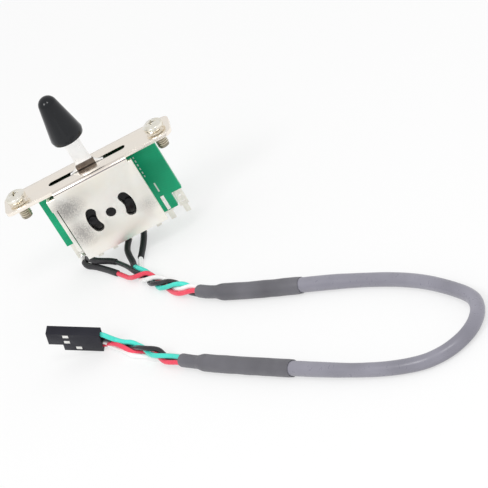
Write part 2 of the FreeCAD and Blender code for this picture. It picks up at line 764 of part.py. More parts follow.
def make_detent():
    ball = doc.addObject("Part::Sphere", "detent_ball")
    ball.setExpression("Radius", size["ball_radius"].text)
    ball.setExpression("Placement.Base.z", (pivot[1] - size["ball_orbit"]).text)
    NODES["detent_ball"] = ball

    wire = SIZES["spring_wire"]
    ball_top = -SIZES["pivot_depth"] - SIZES["ball_orbit"] + SIZES["ball_radius"]
    bore_top = -SIZES["pivot_depth"] - SIZES["spring_space"]
    low = ball_top + wire
    height = bore_top - wire - low
    path = Part.makeHelix(SIZES["spring_pitch"], height, SIZES["spring_radius"])
    ring = Part.Wire([Part.makeCircle(wire, Vector(SIZES["spring_radius"], 0, 0), Vector(0, 1, 0))])
    coil = Part.Wire(path).makePipeShell([ring], True, True)
    coil.translate(Vector(0, 0, low))
    add_shape("detent_spring", coil)

    half = size["detent_width"] / 2
    deep = size["detent_thickness"] / 2
    body = new_body("detent_plate")
    sketch = front_sketch(body, "detent_block", deep)
    rectangle(sketch, -half, half, foot_top, -size["detent_top"])
    pad(body, sketch, size["detent_thickness"])
    ridge = size["ball_orbit"] + size["ball_radius"] + size["ball_clearance"]
    sketch = front_sketch(body, "detent_hollow", -deep)
    circle(sketch, *pivot, ridge)
    pocket(body, sketch, size["detent_thickness"] * THROUGH)
    orbit = ridge + size["notch_cut"] - size["notch_radius"]
    for name, side in (("notch_left", -1), ("notch_middle", 0), ("notch_right", 1)):
        down, across = turned(orbit, size["kidney_angle"] * side)
        sketch = front_sketch(body, name, -deep)
        circle(sketch, across, pivot[1] - down, size["notch_radius"])
        pocket(body, sketch, size["detent_thickness"] * THROUGH)


def make_wiper(label, side):
    """A bent spring strip from the rotor's back to the tracks."""
    body = new_body(label)
    thick = size["wiper_thickness"]
    root = size["rotor_back"]
    touch = size["board_front"] - size["track_thickness"] - size["wiper_clearance"]
    step = thick / 2
    profile = [(size["wiper_root"], root), (size["wiper_bend"], root),
               (size["wiper_tip"], touch - thick), (size["wiper_end"], touch - thick),
               (size["wiper_end"], touch), (size["wiper_tip"] - step, touch),
               (size["wiper_bend"] - step, root + thick), (size["wiper_root"], root + thick)]
    sketch = level_sketch(body, f"{label}_profile", pivot[1] - size["wiper_width"] / 2)
    polygon(sketch, [(u * side, v) for u, v in profile])
    pad(body, sketch, size["wiper_width"])


def make_screw(label, side):
    body = new_body(label)
    top = size["head_lift"] + size["head_height"]
    shoulder = top - size["head_crown"]
    sketch = front_sketch(body, f"{label}_profile", ZERO)
    polygon(sketch, [(ZERO, top), (size["crown_bend_radius"], top - size["crown_bend_drop"]),
                     (size["head_radius"], shoulder), (size["head_radius"], size["head_lift"]),
                     (size["shank_radius"], size["head_lift"]),
                     (size["shank_radius"], size["head_lift"] - size["shank_length"]),
                     (ZERO, size["head_lift"] - size["shank_length"])])
    revolve(body, sketch)
    long = size["recess_length"] / 2
    wide = size["recess_width"] / 2
    sketch = level_sketch(body, f"{label}_recess", top)
    corners = [(-long, -wide), (-wide, -wide), (-wide, -long), (wide, -long), (wide, -wide), (long, -wide),
               (long, wide), (wide, wide), (wide, long), (-wide, long), (-wide, wide), (-long, wide)]
    polygon(sketch, corners)
    pocket(body, sketch, size["recess_depth"])
    body.setExpression("Placement.Base.x", (screw_x * side).text)


def above_floor(points):
    return [Vector(x, y, z - SIZES["rest_depth"]) for x, y, z in points]


def cord_path(points):
    """Straight runs joined by tangent arcs as large as the shorter run allows."""
    edges = []
    radii = []
    start = points[0]
    for before, corner, after in zip(points, points[1:], points[2:]):
        back = (before - corner).normalize()
        ahead = (after - corner).normalize()
        run = ARC_SHARE * min((before - corner).Length, (after - corner).Length)
        half_turn = (math.pi - back.getAngle(ahead)) / 2
        radius = run / math.tan(half_turn)
        radii.append(radius)
        first = corner + back * run
        last = corner + ahead * run
        inward = (back + ahead).normalize()
        crest = corner + inward * (radius / math.cos(half_turn) - radius)
        edges.append(Part.LineSegment(start, first).toShape())
        edges.append(Part.Arc(first, crest, last).toShape())
        start = last
    edges.append(Part.LineSegment(start, points[-1]).toShape())
    return Part.Wire(edges), radii


def make_tube(label, route, radius):
    points = above_floor(route)
    path, radii = cord_path(points)
    ring = Part.Wire([Part.makeCircle(radius, points[0], points[1] - points[0])])
    tube = path.makePipeShell([ring], True, False)
    expected = math.pi * radius ** 2 * path.Length
    if abs(tube.Volume / expected - 1) > VOLUME_SLACK:
        raise ValueError(f"{label} has volume {tube.Volume}, not {expected}")
    print(label, f"length {path.Length:.1f}, radii", [round(value, 1) for value in radii])
    add_shape(label, tube)


def make_shrink_sleeve(label, route):
    """A narrow and a wide straight stretch, meeting in a rounded shoulder."""
    end, shoulder, mouth = above_floor(route)
    narrow = SIZES["sleeve_narrow_radius"]
    wide = SIZES["sleeve_wide_radius"]
    run = mouth - shoulder
    small = Part.makeCylinder(narrow, (shoulder - end).Length, end, shoulder - end)
    large = Part.makeCylinder(wide, run.Length, shoulder, run)
    knuckle = Part.makeSphere(wide, shoulder)
    add_shape(label, small.fuse([large, knuckle]).removeSplitter())


def put_on_floor(body):
    body.Placement.Rotation = Rotation(PLUG_HEADING, -PLUG_RISE, -PLUG_LEAN)
    body.Placement.Base = Vector(PLUG_PLACE[0], PLUG_PLACE[1], 0)
    lift = size["plug_thickness"] / 2 * PLUG_LIFT_SHARE
    body.setExpression("Placement.Base.z", (floor + lift).text)


def way_centre(number):
    return size["plug_height"] / 2 + size["way_pitch"] * (number - (WAY_COUNT - 1) / 2)


def nose_cut(number):
    """The stepped nose shortens the lowest way alone."""
    return size["nose_cut"] if number == 0 else ZERO


def window_start(number):
    return size["window_place"] - (size["window_set_back"] if number == 0 else ZERO)


def make_plug():
    """The housing is drawn along +X from its wire end, then turned into its place."""
    body = new_body("plug_housing")
    long = size["plug_length"]
    half = size["plug_thickness"] / 2
    tall = size["plug_height"]
    sketch = side_sketch(body, "plug_section", ZERO)
    rectangle(sketch, -half, half, ZERO, tall)
    pad(body, sketch, long)
    sketch = front_sketch(body, "nose_step", -half)
    rectangle(sketch, long - size["nose_cut"], long + half, -half, size["way_pitch"])
    pocket(body, sketch, size["plug_thickness"])
    half_u = size["way_width"] / 2
    half_v = size["way_height"] / 2
    pin = size["pin_hole"] / 2
    for number in range(WAY_COUNT):
        centre = way_centre(number)
        sketch = side_sketch(body, f"way_{number}", ZERO)
        rectangle(sketch, -half_u, half_u, centre - half_v, centre + half_v)
        pocket(body, sketch, size["way_length"] - nose_cut(number), reverse=True)
        sketch = side_sketch(body, f"pin_way_{number}", ZERO)
        rectangle(sketch, -pin, pin, centre - pin, centre + pin)
        pocket(body, sketch, long, reverse=True)
        place_x = window_start(number)
        sketch = front_sketch(body, f"window_{number}", half)
        half_window = size["window_height"] / 2
        rectangle(sketch, place_x, place_x + size["window_length"], centre - half_window,
                  centre + half_window)
        pocket(body, sketch, size["plug_thickness"] / 2, reverse=True)
    put_on_floor(body)


def make_terminal(number):
    """A crimped contact in its way, with a tang that stands in the window."""
    label = f"plug_terminal_{number + 1}"
    body = new_body(label)
    clear = size["terminal_clearance"]
    half_u = size["way_width"] / 2 - clear
    half_v = size["way_height"] / 2 - clear
    centre = way_centre(number)
    pin = size["pin_hole"] / 2
    sketch = side_sketch(body, f"terminal_section_{number}", size["terminal_start"])
    rectangle(sketch, -half_u, half_u, centre - half_v, centre + half_v)
    pad(body, sketch, size["terminal_length"] - nose_cut(number))
    sketch = side_sketch(body, f"terminal_socket_{number}", size["terminal_start"])
    rectangle(sketch, -pin, pin, centre - pin, centre + pin)
    pocket(body, sketch, size["terminal_length"], reverse=True)
    place_x = window_start(number)
    half_window = size["window_height"] / 2 - clear
    sketch = front_sketch(body, f"terminal_tang_{number}", half_u)
    rectangle(sketch, place_x + clear, place_x + size["window_length"] - clear, centre - half_window,
              centre + half_window)
    pad(body, sketch, (size["plug_thickness"] - size["way_width"]) / 2, reverse=True)
    put_on_floor(body)


def check_document():
    for item in doc.Objects:
        if "Invalid" in item.State or "Error" in item.State:
            raise ValueError(f"{item.Name} has failed: {item.State}")
    for label, item in NODES.items():
        shape = item.Shape
        if shape.isNull() or not shape.isValid() or shape.Volume <= 0:
            raise ValueError(f"{label} has no valid shape")


def main():
    make_frame()
    make_board()
    make_tracks()
    make_pads()
    for number in range(LUG_COUNT):
        make_lug(number)
    make_solder()
    make_rotor()
    make_lever()
    make_tip()
    make_detent()
    make_wiper("wiper_left", -1)
    make_wiper("wiper_right", 1)
    make_screw("mounting_screw_left", -1)
    make_screw("mounting_screw_right", 1)
    for colour, route in LUG_SLEEVES.items():
        make_tube(f"lug_sleeve_{colour}", route, SIZES["lug_sleeve_radius"])
    for colour, route in LEADS.items():
        make_tube(f"lead_{colour}", route, SIZES["wire_radius"])
    make_tube("twist_upper", TWIST_UPPER, SIZES["twist_radius"])
    make_shrink_sleeve("shrink_sleeve_upper", SLEEVE_UPPER)
    make_tube("cable", CABLE, SIZES["cable_radius"])
    make_shrink_sleeve("shrink_sleeve_lower", SLEEVE_LOWER)
    make_tube("twist_lower", TWIST_LOWER, SIZES["twist_radius"])
    for colour, route in PLUG_LEADS.items():
        make_tube(f"plug_lead_{colour}", route, SIZES["wire_radius"])
    make_plug()
    for number in range(WAY_COUNT):
        make_terminal(number)
    doc.recompute()
    check_document()
    os.makedirs("parts", exist_ok=True)
    for label, item in NODES.items():
        item.Shape.exportStep(f"parts/{label}.step")
        print(label, f"{item.Shape.Volume:.2f} mm3, {len(item.Shape.Solids)} solid")


main()
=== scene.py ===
import math

import bmesh
import bpy
from mathutils import Matrix, Vector, noise


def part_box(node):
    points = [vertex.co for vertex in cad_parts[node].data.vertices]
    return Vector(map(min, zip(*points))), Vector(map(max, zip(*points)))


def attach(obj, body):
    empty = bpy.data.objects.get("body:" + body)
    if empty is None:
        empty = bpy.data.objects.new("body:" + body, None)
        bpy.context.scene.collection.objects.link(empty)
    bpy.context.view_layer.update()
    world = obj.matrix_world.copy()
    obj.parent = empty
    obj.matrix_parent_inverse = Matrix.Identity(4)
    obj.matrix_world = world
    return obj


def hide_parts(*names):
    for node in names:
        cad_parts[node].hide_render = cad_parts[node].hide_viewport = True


# A lever selector switch with its four-wire cord and crimp plug.
# Metres, in the solids' frame: the origin is the middle of the lever slot, +Z is up.
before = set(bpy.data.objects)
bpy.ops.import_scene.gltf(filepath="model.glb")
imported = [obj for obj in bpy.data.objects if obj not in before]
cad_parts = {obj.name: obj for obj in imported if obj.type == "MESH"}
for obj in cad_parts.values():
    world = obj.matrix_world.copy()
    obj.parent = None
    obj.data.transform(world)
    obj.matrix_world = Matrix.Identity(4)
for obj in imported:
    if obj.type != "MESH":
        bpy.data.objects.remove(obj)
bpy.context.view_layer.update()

SWITCH = "switch_frame"
ARM = "lever_arm"
floor_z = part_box("solder_lug_1")[0].z

# Camera, fitted to the photograph. Its angles are in radians, and its aim lies off
# the origin by so much to the right and up in the picture.
PICTURE_SIDE = 488
SENSOR = 36.0
VIEW_DISTANCE = 0.7
VIEW_AZIMUTH = 0.15545
VIEW_ELEVATION = 0.5104
VIEW_ROLL = -0.54865
PIXELS_PER_METRE = 3791.39
AIM_RIGHT = 0.0415433
AIM_UP = -0.0206731

# Cord routes: X, Y and the height above the floor.
LUG_SLEEVES = {
    "red": [
        (-0.0161, 0.00655, 0.001), (-0.01583, 0.00444, 0.00085), (-0.01302, 0.0014, 0.00095),
        (-0.01002, -0.00289, 0.00093), (-0.00693, -0.00784, 0.001),
    ],
    "black": [
        (-0.0146, 0.00655, 0.0015), (-0.01366, 0.00382, 0.00247), (-0.01221, 0.00145, 0.00254),
        (-0.01035, 0.00037, 0.00206), (-0.00848, -0.00067, 0.0017), (-0.00676, -0.00257, 0.0015),
    ],
    "mint": [
        (-0.00225, 0.00655, 0.00115), (-0.00347, 0.00284, 0.001), (-0.003, -0.00204, 0.001),
        (-0.00231, -0.00559, 0.001), (-0.00207, -0.00882, 0.00134), (-0.0016, -0.0103, 0.0018),
    ],
    "white": [
        (0.00225, 0.00655, 0.00115), (0.00207, 0.00188, 0.001), (0.0, -0.0058, 0.00093),
    ],
}
UPPER_WIRES = {
    "red": [
        (-0.00535, -0.01052, 0.001), (-0.00377, -0.01353, 0.0013), (-0.00169, -0.01612, 0.00237),
        (0.00021, -0.01682, 0.00261), (0.00173, -0.01774, 0.00275), (0.00269, -0.019, 0.00239),
        (0.00344, -0.02038, 0.00183), (0.00419, -0.02206, 0.00135), (0.00495, -0.02403, 0.00095),
        (0.00601, -0.02674, 0.00056), (0.00723, -0.03022, 0.00093), (0.0088, -0.03299, 0.00149),
        (0.01035, -0.03439, 0.00182), (0.01171, -0.03589, 0.00248), (0.01375, -0.0373, 0.0028),
        (0.0154, -0.03945, 0.0027),
    ],
    "black": [
        (-0.0054, -0.00497, 0.0016), (-0.00348, -0.0091, 0.00221), (-0.00217, -0.01281, 0.00249),
        (-0.00092, -0.01481, 0.00211), (0.00052, -0.01623, 0.00138), (0.0011, -0.01826, 0.00056),
        (0.00152, -0.02126, 0.00122), (0.00305, -0.02352, 0.00217), (0.00495, -0.02491, 0.0022),
        (0.00666, -0.02656, 0.00278), (0.0083, -0.02783, 0.00254), (0.00973, -0.02924, 0.00182),
        (0.01072, -0.03161, 0.0011), (0.0117, -0.03454, 0.00112), (0.01355, -0.03743, 0.0016),
        (0.01605, -0.04063, 0.0016),
    ],
    "mint": [
        (-0.00021, -0.01391, 0.00297), (0.00107, -0.01542, 0.0024), (0.00201, -0.0168, 0.00173),
        (0.00253, -0.01849, 0.00114), (0.00268, -0.02012, 0.0007), (0.00303, -0.0222, 0.00063),
        (0.0036, -0.02458, 0.00082), (0.00506, -0.02696, 0.00169), (0.00702, -0.02861, 0.00225),
        (0.00877, -0.03018, 0.00291), (0.01041, -0.03127, 0.00291), (0.01161, -0.03204, 0.00235),
        (0.01267, -0.03354, 0.00164), (0.01458, -0.03663, 0.00151), (0.01708, -0.03983, 0.00151),
    ],
    "white": [
        (-0.00038, -0.00813, 0.00061), (-0.00039, -0.0132, 0.00119), (-0.0013, -0.01537, 0.00045),
        (0.00008, -0.01895, 0.0018), (0.0022, -0.02101, 0.0027), (0.0042, -0.02218, 0.00276),
        (0.00575, -0.02347, 0.00244), (0.00692, -0.02522, 0.00175), (0.00778, -0.0281, 0.00105),
        (0.00928, -0.03165, 0.00181), (0.01128, -0.0337, 0.00261), (0.01295, -0.03473, 0.0029),
        (0.01465, -0.03657, 0.0028), (0.01715, -0.03977, 0.0028),
    ],
}
LOWER_WIRES = {
    "mint": [
        (-0.01458, -0.04028, 0.00686), (-0.0123, -0.04098, 0.00585), (-0.01129, -0.04161, 0.00493),
        (-0.01042, -0.0419, 0.00389), (-0.00944, -0.04218, 0.0028), (-0.00782, -0.04387, 0.00236),
        (-0.00579, -0.04516, 0.0021), (-0.00442, -0.04669, 0.00124), (-0.00296, -0.04996, 0.00205),
        (-0.00186, -0.05353, 0.00171), (-0.00033, -0.05748, 0.00299), (0.00201, -0.05984, 0.0032),
        (0.00421, -0.06144, 0.00297), (0.00613, -0.06368, 0.00313), (0.00833, -0.06628, 0.00313),
    ],
    "black": [
        (-0.01523, -0.03922, 0.00465), (-0.01295, -0.03992, 0.00364), (-0.01158, -0.04116, 0.00372),
        (-0.01056, -0.04092, 0.00242), (-0.00941, -0.04149, 0.00138), (-0.00786, -0.04352, 0.00081),
        (-0.00609, -0.04674, 0.00122), (-0.00396, -0.05044, 0.00292), (-0.00205, -0.05291, 0.00324),
        (0.00006, -0.05445, 0.00302), (0.00162, -0.05639, 0.00292), (0.00258, -0.05903, 0.00205),
        (0.00386, -0.06107, 0.00151), (0.00607, -0.06372, 0.00127), (0.00827, -0.06632, 0.00127),
    ],
    "white": [
        (-0.01336, -0.03944, 0.00278), (-0.01265, -0.03949, 0.00225), (-0.012, -0.0405, 0.0012),
        (-0.0107, -0.0422, 0.00066), (-0.0093, -0.0443, 0.00066), (-0.008, -0.0465, 0.00066),
        (-0.0066, -0.049, 0.00066), (-0.0047, -0.05095, 0.0007), (-0.00305, -0.05229, 0.00062),
        (-0.0013, -0.05507, 0.00071), (0.00098, -0.05678, 0.0006), (0.00316, -0.05767, 0.00127),
        (0.00477, -0.05998, 0.00191), (0.00681, -0.0631, 0.00217), (0.00901, -0.0657, 0.00217),
    ],
    "red": [
        (-0.01589, -0.03816, 0.00243), (-0.0136, -0.03886, 0.0015), (-0.0122, -0.0401, 0.0017),
        (-0.011, -0.0415, 0.0023), (-0.0096, -0.0432, 0.0022), (-0.0081, -0.0453, 0.0016),
        (-0.0068, -0.0475, 0.0012), (-0.00505, -0.04915, 0.0009), (-0.00321, -0.05044, 0.00064),
        (-0.00112, -0.05195, 0.00069), (0.00042, -0.05604, 0.00215), (0.00154, -0.06001, 0.0016),
        (0.00341, -0.06254, 0.00202), (0.00539, -0.0643, 0.00223), (0.00759, -0.0669, 0.00223),
    ],
}
SLEEVE_UPPER = [(0.01465, -0.0377, 0.0022), (0.0191, -0.0434, 0.0022), (0.0411, -0.0582, 0.0022)]
CABLE = [
    (0.0411, -0.0582, 0.0022), (0.0475, -0.0625, 0.0022), (0.0556, -0.0682, 0.0019),
    (0.0634, -0.0747, 0.0019), (0.07, -0.0816, 0.0019), (0.0752, -0.0889, 0.0019),
    (0.08, -0.0972, 0.0019), (0.0802, -0.1031, 0.0019), (0.0778, -0.1085, 0.0019),
    (0.0733, -0.1122, 0.0019), (0.0676, -0.1136, 0.0019), (0.0619, -0.1124, 0.0019),
    (0.0536, -0.1076, 0.0019), (0.0436, -0.1, 0.0022), (0.0336, -0.0907, 0.0022),
]
SLEEVE_LOWER = [(0.0067, -0.06442, 0.0022), (0.0112, -0.0698, 0.0022), (0.0336, -0.0907, 0.0022)]

# Cords and sleeves.
WIRE_RADIUS = 0.00065
LUG_SLEEVE_RADIUS = 0.00088
LUG_SLEEVE_RIM = 0.0002
SLEEVE_NARROW_RADIUS = 0.0017
SLEEVE_WIDE_RADIUS = 0.0022
SLEEVE_RIM = 0.0001
STEP_LENGTH = 0.0028
UPPER_STEP_AT = 0.0074
LOWER_STEP_AT = 0.0069
CABLE_RADIUS = 0.0019
CABLE_MIDDLE_RADIUS = 0.00174
CABLE_FULL_LENGTH = 0.006
CABLE_TAPER_LENGTH = 0.014
CABLE_OVAL_SHARE = 0.022
CABLE_OVAL_PITCH = 0.09
LUMPS_PER_METRE = 260
LUMPS_ROUND = 1.3

# Places and sizes on the frame, the screws, the lugs and the plug. A thread's ridge
# is sunk a little into the shank.
PLATE_FRONT = -0.0057
FOLD_HALF_WIDTH = 0.0109
SLOT_HALF_LENGTH = 0.0117
SLOT_HALF_WIDTH = 0.00103
SCREW_OFFSET = 0.02065
SCREW_RECESS_Z = 0.0019
SHANK_RADIUS = 0.00145
THREAD_TOP = -0.0014
THREAD_PITCH = 0.0006
THREAD_STEPS = 24
THREAD_HALF_WIDTH = 0.00017
THREAD_DEPTH = 0.00018
THREAD_SUNK = 0.00006
THREAD_END_GAP = 0.0004
LUG_COUNT = 8
SOLDERED_LUGS = (1, 4, 5)
DROP_HALF_WIDTH = 0.00098
DROP_DEPTH_SHARE = 0.75
DROP_HEIGHT_SHARE = 0.5
DROP_LUMPS = 0.16
PLUG_WAYS = 3

# Shaping and finishing.
X, Y, Z = range(3)
SOFT_FADE = 0.00006
CRISP_FADE = 0.00004
SHARP_FADE = 0.00002
FULL_ROUND = 0.00012
PLAIN_ROUND = 0.0001
FINE_ROUND = 0.00008
CREASE_ANGLE = math.radians(30)
FLAT_ANGLE = math.radians(1.5)
MERGE_DISTANCE = 0.000002
SLIVER_LENGTH = 0.0000005

# Studio.
WORLD_STRENGTH = 0.79
LAMP_AIM = (0.03, -0.05, -0.02)
FLOOR_HALF_WIDTH = 3.0
FLOOR_DROP = 0.00002
FLOOR_GLOW = 0.6


def on_floor(points):
    """A route's points in the frame, from their heights above the floor."""
    return [Vector((x, y, z + floor_z)) for x, y, z in points]


def view_axes():
    """The camera's right, up and backward directions."""
    back = Vector((math.sin(VIEW_AZIMUTH) * math.cos(VIEW_ELEVATION),
                   -math.cos(VIEW_AZIMUTH) * math.cos(VIEW_ELEVATION), math.sin(VIEW_ELEVATION)))
    level = Vector((math.cos(VIEW_AZIMUTH), math.sin(VIEW_AZIMUTH), 0))
    rise = back.cross(level)
    right = level * math.cos(VIEW_ROLL) + rise * math.sin(VIEW_ROLL)
    up = rise * math.cos(VIEW_ROLL) - level * math.sin(VIEW_ROLL)
    return right, up, back


def make_camera():
    """A camera that frames the picture as the photograph does."""
    right, up, back = view_axes()
    camera = bpy.data.objects.new("camera", bpy.data.cameras.new("camera"))
    camera.data.sensor_width = SENSOR
    camera.data.lens = SENSOR * VIEW_DISTANCE * PIXELS_PER_METRE / PICTURE_SIDE
    camera.data.clip_end = 10
    turn = Matrix((right, up, back)).transposed().to_4x4()
    place = right * AIM_RIGHT + up * AIM_UP + back * VIEW_DISTANCE
    camera.matrix_world = Matrix.Translation(place) @ turn
    bpy.context.scene.collection.objects.link(camera)
    bpy.context.scene.camera = camera


class Finish:
    """A material whose patterns follow the piece's own coordinates."""

    def __init__(self, name, colour, metallic=0.0, roughness=0.5):
        self.material = bpy.data.materials.new(name)
        self.material.use_nodes = True
        self.tree = self.material.node_tree
        self.shader = self.tree.nodes["Principled BSDF"]
        self.set("Base Color", (*colour, 1))
        self.set("Metallic", metallic)
        self.set("Roughness", roughness)
        self.place = self.tree.nodes.new("ShaderNodeTexCoord").outputs["Object"]

    def set(self, socket, value):
        self.shader.inputs[socket].default_value = value

    def node(self, kind, **settings):
        made = self.tree.nodes.new(kind)
        for name, value in settings.items():
            setattr(made, name, value)
        return made

    def join(self, source, target):
        self.tree.links.new(source, target)

    def stretched(self, scale, centre=(0, 0, 0)):
        """The piece's coordinates, moved to centre and scaled."""
        moved = self.node("ShaderNodeVectorMath", operation="SUBTRACT")
        self.join(self.place, moved.inputs[0])
        moved.inputs[1].default_value = centre
        mapping = self.node("ShaderNodeMapping")
        self.join(moved.outputs[0], mapping.inputs["Vector"])
        mapping.inputs["Scale"].default_value = scale
        return mapping.outputs[0]

    def noise(self, scale, detail=3.0, place=None):
        made = self.node("ShaderNodeTexNoise")
        self.join(place or self.place, made.inputs["Vector"])
        made.inputs["Scale"].default_value = scale
        made.inputs["Detail"].default_value = detail
        return made.outputs["Fac"]

    def spread(self, value, low, high, to_low=0.0, to_high=1.0):
        """A value between low and high, spread onto another range."""
        made = self.node("ShaderNodeMapRange")
        self.join(value, made.inputs["Value"])
        made.inputs["From Min"].default_value = low
        made.inputs["From Max"].default_value = high
        made.inputs["To Min"].default_value = to_low
        made.inputs["To Max"].default_value = to_high
        return made.outputs["Result"]

    def blob(self, centre, reach):
        """One at centre, falling to nothing at the reach along each axis."""
        place = self.stretched([1 / length for length in reach], centre)
        made = self.node("ShaderNodeTexGradient", gradient_type="SPHERICAL")
        self.join(place, made.inputs["Vector"])
        return made.outputs["Fac"]

    def band(self, axis, low, high, soft=SOFT_FADE):
        """One between two places along an axis of the piece, nothing outside them."""
        parts = self.node("ShaderNodeSeparateXYZ")
        self.join(self.place, parts.inputs[0])
        rising = self.spread(parts.outputs[axis], low - soft, low + soft)
        falling = self.spread(parts.outputs[axis], high - soft, high + soft, 1.0, 0.0)
        return self.times(rising, falling)

    def combined(self, operation, first, second):
        """An output with another one or a number, kept between nothing and one."""
        made = self.node("ShaderNodeMath", operation=operation)
        made.use_clamp = True
        self.join(first, made.inputs[0])
        if isinstance(second, (int, float)):
            made.inputs[1].default_value = second
        else:
            self.join(second, made.inputs[1])
        return made.outputs[0]

    def plus(self, first, second):
        return self.combined("ADD", first, second)

    def times(self, first, second):
        return self.combined("MULTIPLY", first, second)

    def mix(self, share, low, high):
        """A colour between two, each a colour or another node's output."""
        made = self.node("ShaderNodeMix", data_type="RGBA")
        self.join(share, made.inputs["Factor"])
        for socket, value in ((made.inputs[6], low), (made.inputs[7], high)):
            if isinstance(value, tuple):
                socket.default_value = (*value, 1)
            else:
                self.join(value, socket)
        return made.outputs[2]

    def colour(self, source):
        self.join(source, self.shader.inputs["Base Color"])

    def roughness(self, source):
        self.join(source, self.shader.inputs["Roughness"])

    def bump(self, height, distance, strength=1.0):
        made = self.node("ShaderNodeBump")
        self.join(height, made.inputs["Height"])
        made.inputs["Distance"].default_value = distance
        made.inputs["Strength"].default_value = strength
        self.join(made.outputs["Normal"], self.shader.inputs["Normal"])


def nickel_finish():
    """Warm nickel plate, with grey painted reflections on the front plate, a warmer painted reflection tint
    on the flange top, painted shade over the bend's reflection, a painted dark reflection line along the
    crease and painted shade in the slot.
    """
    finish = Finish("bright_nickel", (1.0, 0.97, 0.9), metallic=1.0, roughness=0.26)
    lines = finish.noise(900, place=finish.stretched((1, 1, 0.03)))
    cloud = finish.noise(2600, detail=5)
    # Painted reflections: grey patches on the front plate stand in for what the plate reflects.
    left = finish.plus(finish.blob((-0.0096, PLATE_FRONT, -0.0062), (0.0058, 0.004, 0.0044)),
                       finish.blob((-0.0096, PLATE_FRONT, -0.0146), (0.0042, 0.004, 0.0048)))
    right = finish.times(finish.blob((0.0098, PLATE_FRONT, -0.0155), (0.004, 0.004, 0.003)), 0.4)
    reflection_patches = finish.plus(left, right)
    painted_reflection_share = finish.times(finish.spread(cloud, 0.38, 0.62, 0.7, 1.6), reflection_patches)
    warmth = finish.spread(finish.noise(90), 0.35, 0.65)
    # The flange top is coloured warmer than the plate, a painted reflection tint. It is also given a lower
    # roughness.
    flange_top = finish.band(Z, -0.0011, 0.001)
    plate = finish.mix(warmth, (1.0, 0.985, 0.94), (1.0, 0.95, 0.85))
    plate = finish.mix(flange_top, plate, (1.0, 0.93, 0.84))
    plate = finish.mix(painted_reflection_share, plate, (0.52, 0.5, 0.475))

    # Painted light on the fold: the bend is coloured darker as painted shade over its lamp reflection, and
    # a thin dark line along the crease is a painted dark reflection.
    fold = finish.times(finish.band(Y, -0.0062, -0.0046),
                        finish.band(X, -FOLD_HALF_WIDTH, FOLD_HALF_WIDTH))
    bend = finish.times(fold, finish.band(Z, -0.00072, 0.001, CRISP_FADE))
    painted_crease_reflection = finish.times(fold, finish.band(Z, -0.00084, -0.00068, CRISP_FADE))
    plate = finish.mix(bend, plate, (0.84, 0.77, 0.7))
    plate = finish.mix(painted_crease_reflection, plate, (0.12, 0.12, 0.17))

    # Painted shade: the walls inside the slot are coloured near black.
    slot = finish.times(finish.band(X, -SLOT_HALF_LENGTH, SLOT_HALF_LENGTH),
                        finish.band(Y, -SLOT_HALF_WIDTH, SLOT_HALF_WIDTH, SHARP_FADE))
    painted_slot_shade = finish.times(slot, finish.band(Z, -0.0013, -0.0001, SHARP_FADE))
    finish.colour(finish.mix(painted_slot_shade, plate, (0.05, 0.07, 0.05)))
    finish.roughness(finish.spread(flange_top, 0, 1, 0.4, 0.24))
    finish.bump(lines, 0.000003, 0.25)
    return finish.material


def lever_finish():
    """Bright steel, with painted shade in dark brown where the lever comes out of the slot."""
    finish = Finish("lever_steel", (1.0, 0.99, 0.97), metallic=0.8, roughness=0.3)
    cloud = finish.noise(700, detail=4)
    # Painted shade: the lever is coloured dark brown where it passes through the slot.
    foot = finish.times(finish.band(Z, -0.004, 0.0017), finish.band(X, -0.0027, 0.0027))
    painted_foot_shade = finish.mix(finish.spread(cloud, 0.35, 0.65), (0.13, 0.1, 0.08), (0.2, 0.165, 0.135))
    finish.colour(finish.mix(foot, (1.0, 0.99, 0.97), painted_foot_shade))
    finish.roughness(finish.spread(cloud, 0.3, 0.7, 0.25, 0.38))
    return finish.material


def screw_finish():
    """Nickel, with painted shade in the drive recess and on the shank below the flange."""
    finish = Finish("screw_nickel", (0.95, 0.91, 0.82), metallic=1.0, roughness=0.18)
    cloud = finish.noise(500)
    shank_shade = finish.band(Z, -0.03, -0.0011)
    plain = finish.mix(finish.spread(cloud, 0.3, 0.7), (0.98, 0.96, 0.91), (0.84, 0.8, 0.68))
    # Painted shade: the drive recess is coloured near black.
    recess_shade = finish.plus(finish.blob((-SCREW_OFFSET, 0, SCREW_RECESS_Z), (0.0014, 0.0014, 0.0012)),
                         finish.blob((SCREW_OFFSET, 0, SCREW_RECESS_Z), (0.0014, 0.0014, 0.0012)))
    plain = finish.mix(finish.spread(recess_shade, 0.3, 0.5), plain, (0.07, 0.06, 0.05))
    # Painted shade: the shank below the flange, seen between the thread's ridges, is coloured dark
    # brown-grey.
    finish.colour(finish.mix(shank_shade, plain, (0.3, 0.27, 0.21)))
    finish.roughness(finish.spread(cloud, 0.3, 0.7, 0.15, 0.28))
    return finish.material


def plated_finish(name, colour, roughness, grain):
    """A small metal part with a soft grain."""
    finish = Finish(name, colour, metallic=1.0, roughness=roughness)
    cloud = finish.noise(grain)
    darker = tuple(value * 0.85 for value in colour)
    finish.colour(finish.mix(finish.spread(cloud, 0.3, 0.7), colour, darker))
    finish.roughness(finish.spread(cloud, 0.3, 0.7, roughness, roughness + 0.15))
    finish.bump(cloud, 0.00001, 0.4)
    return finish.material


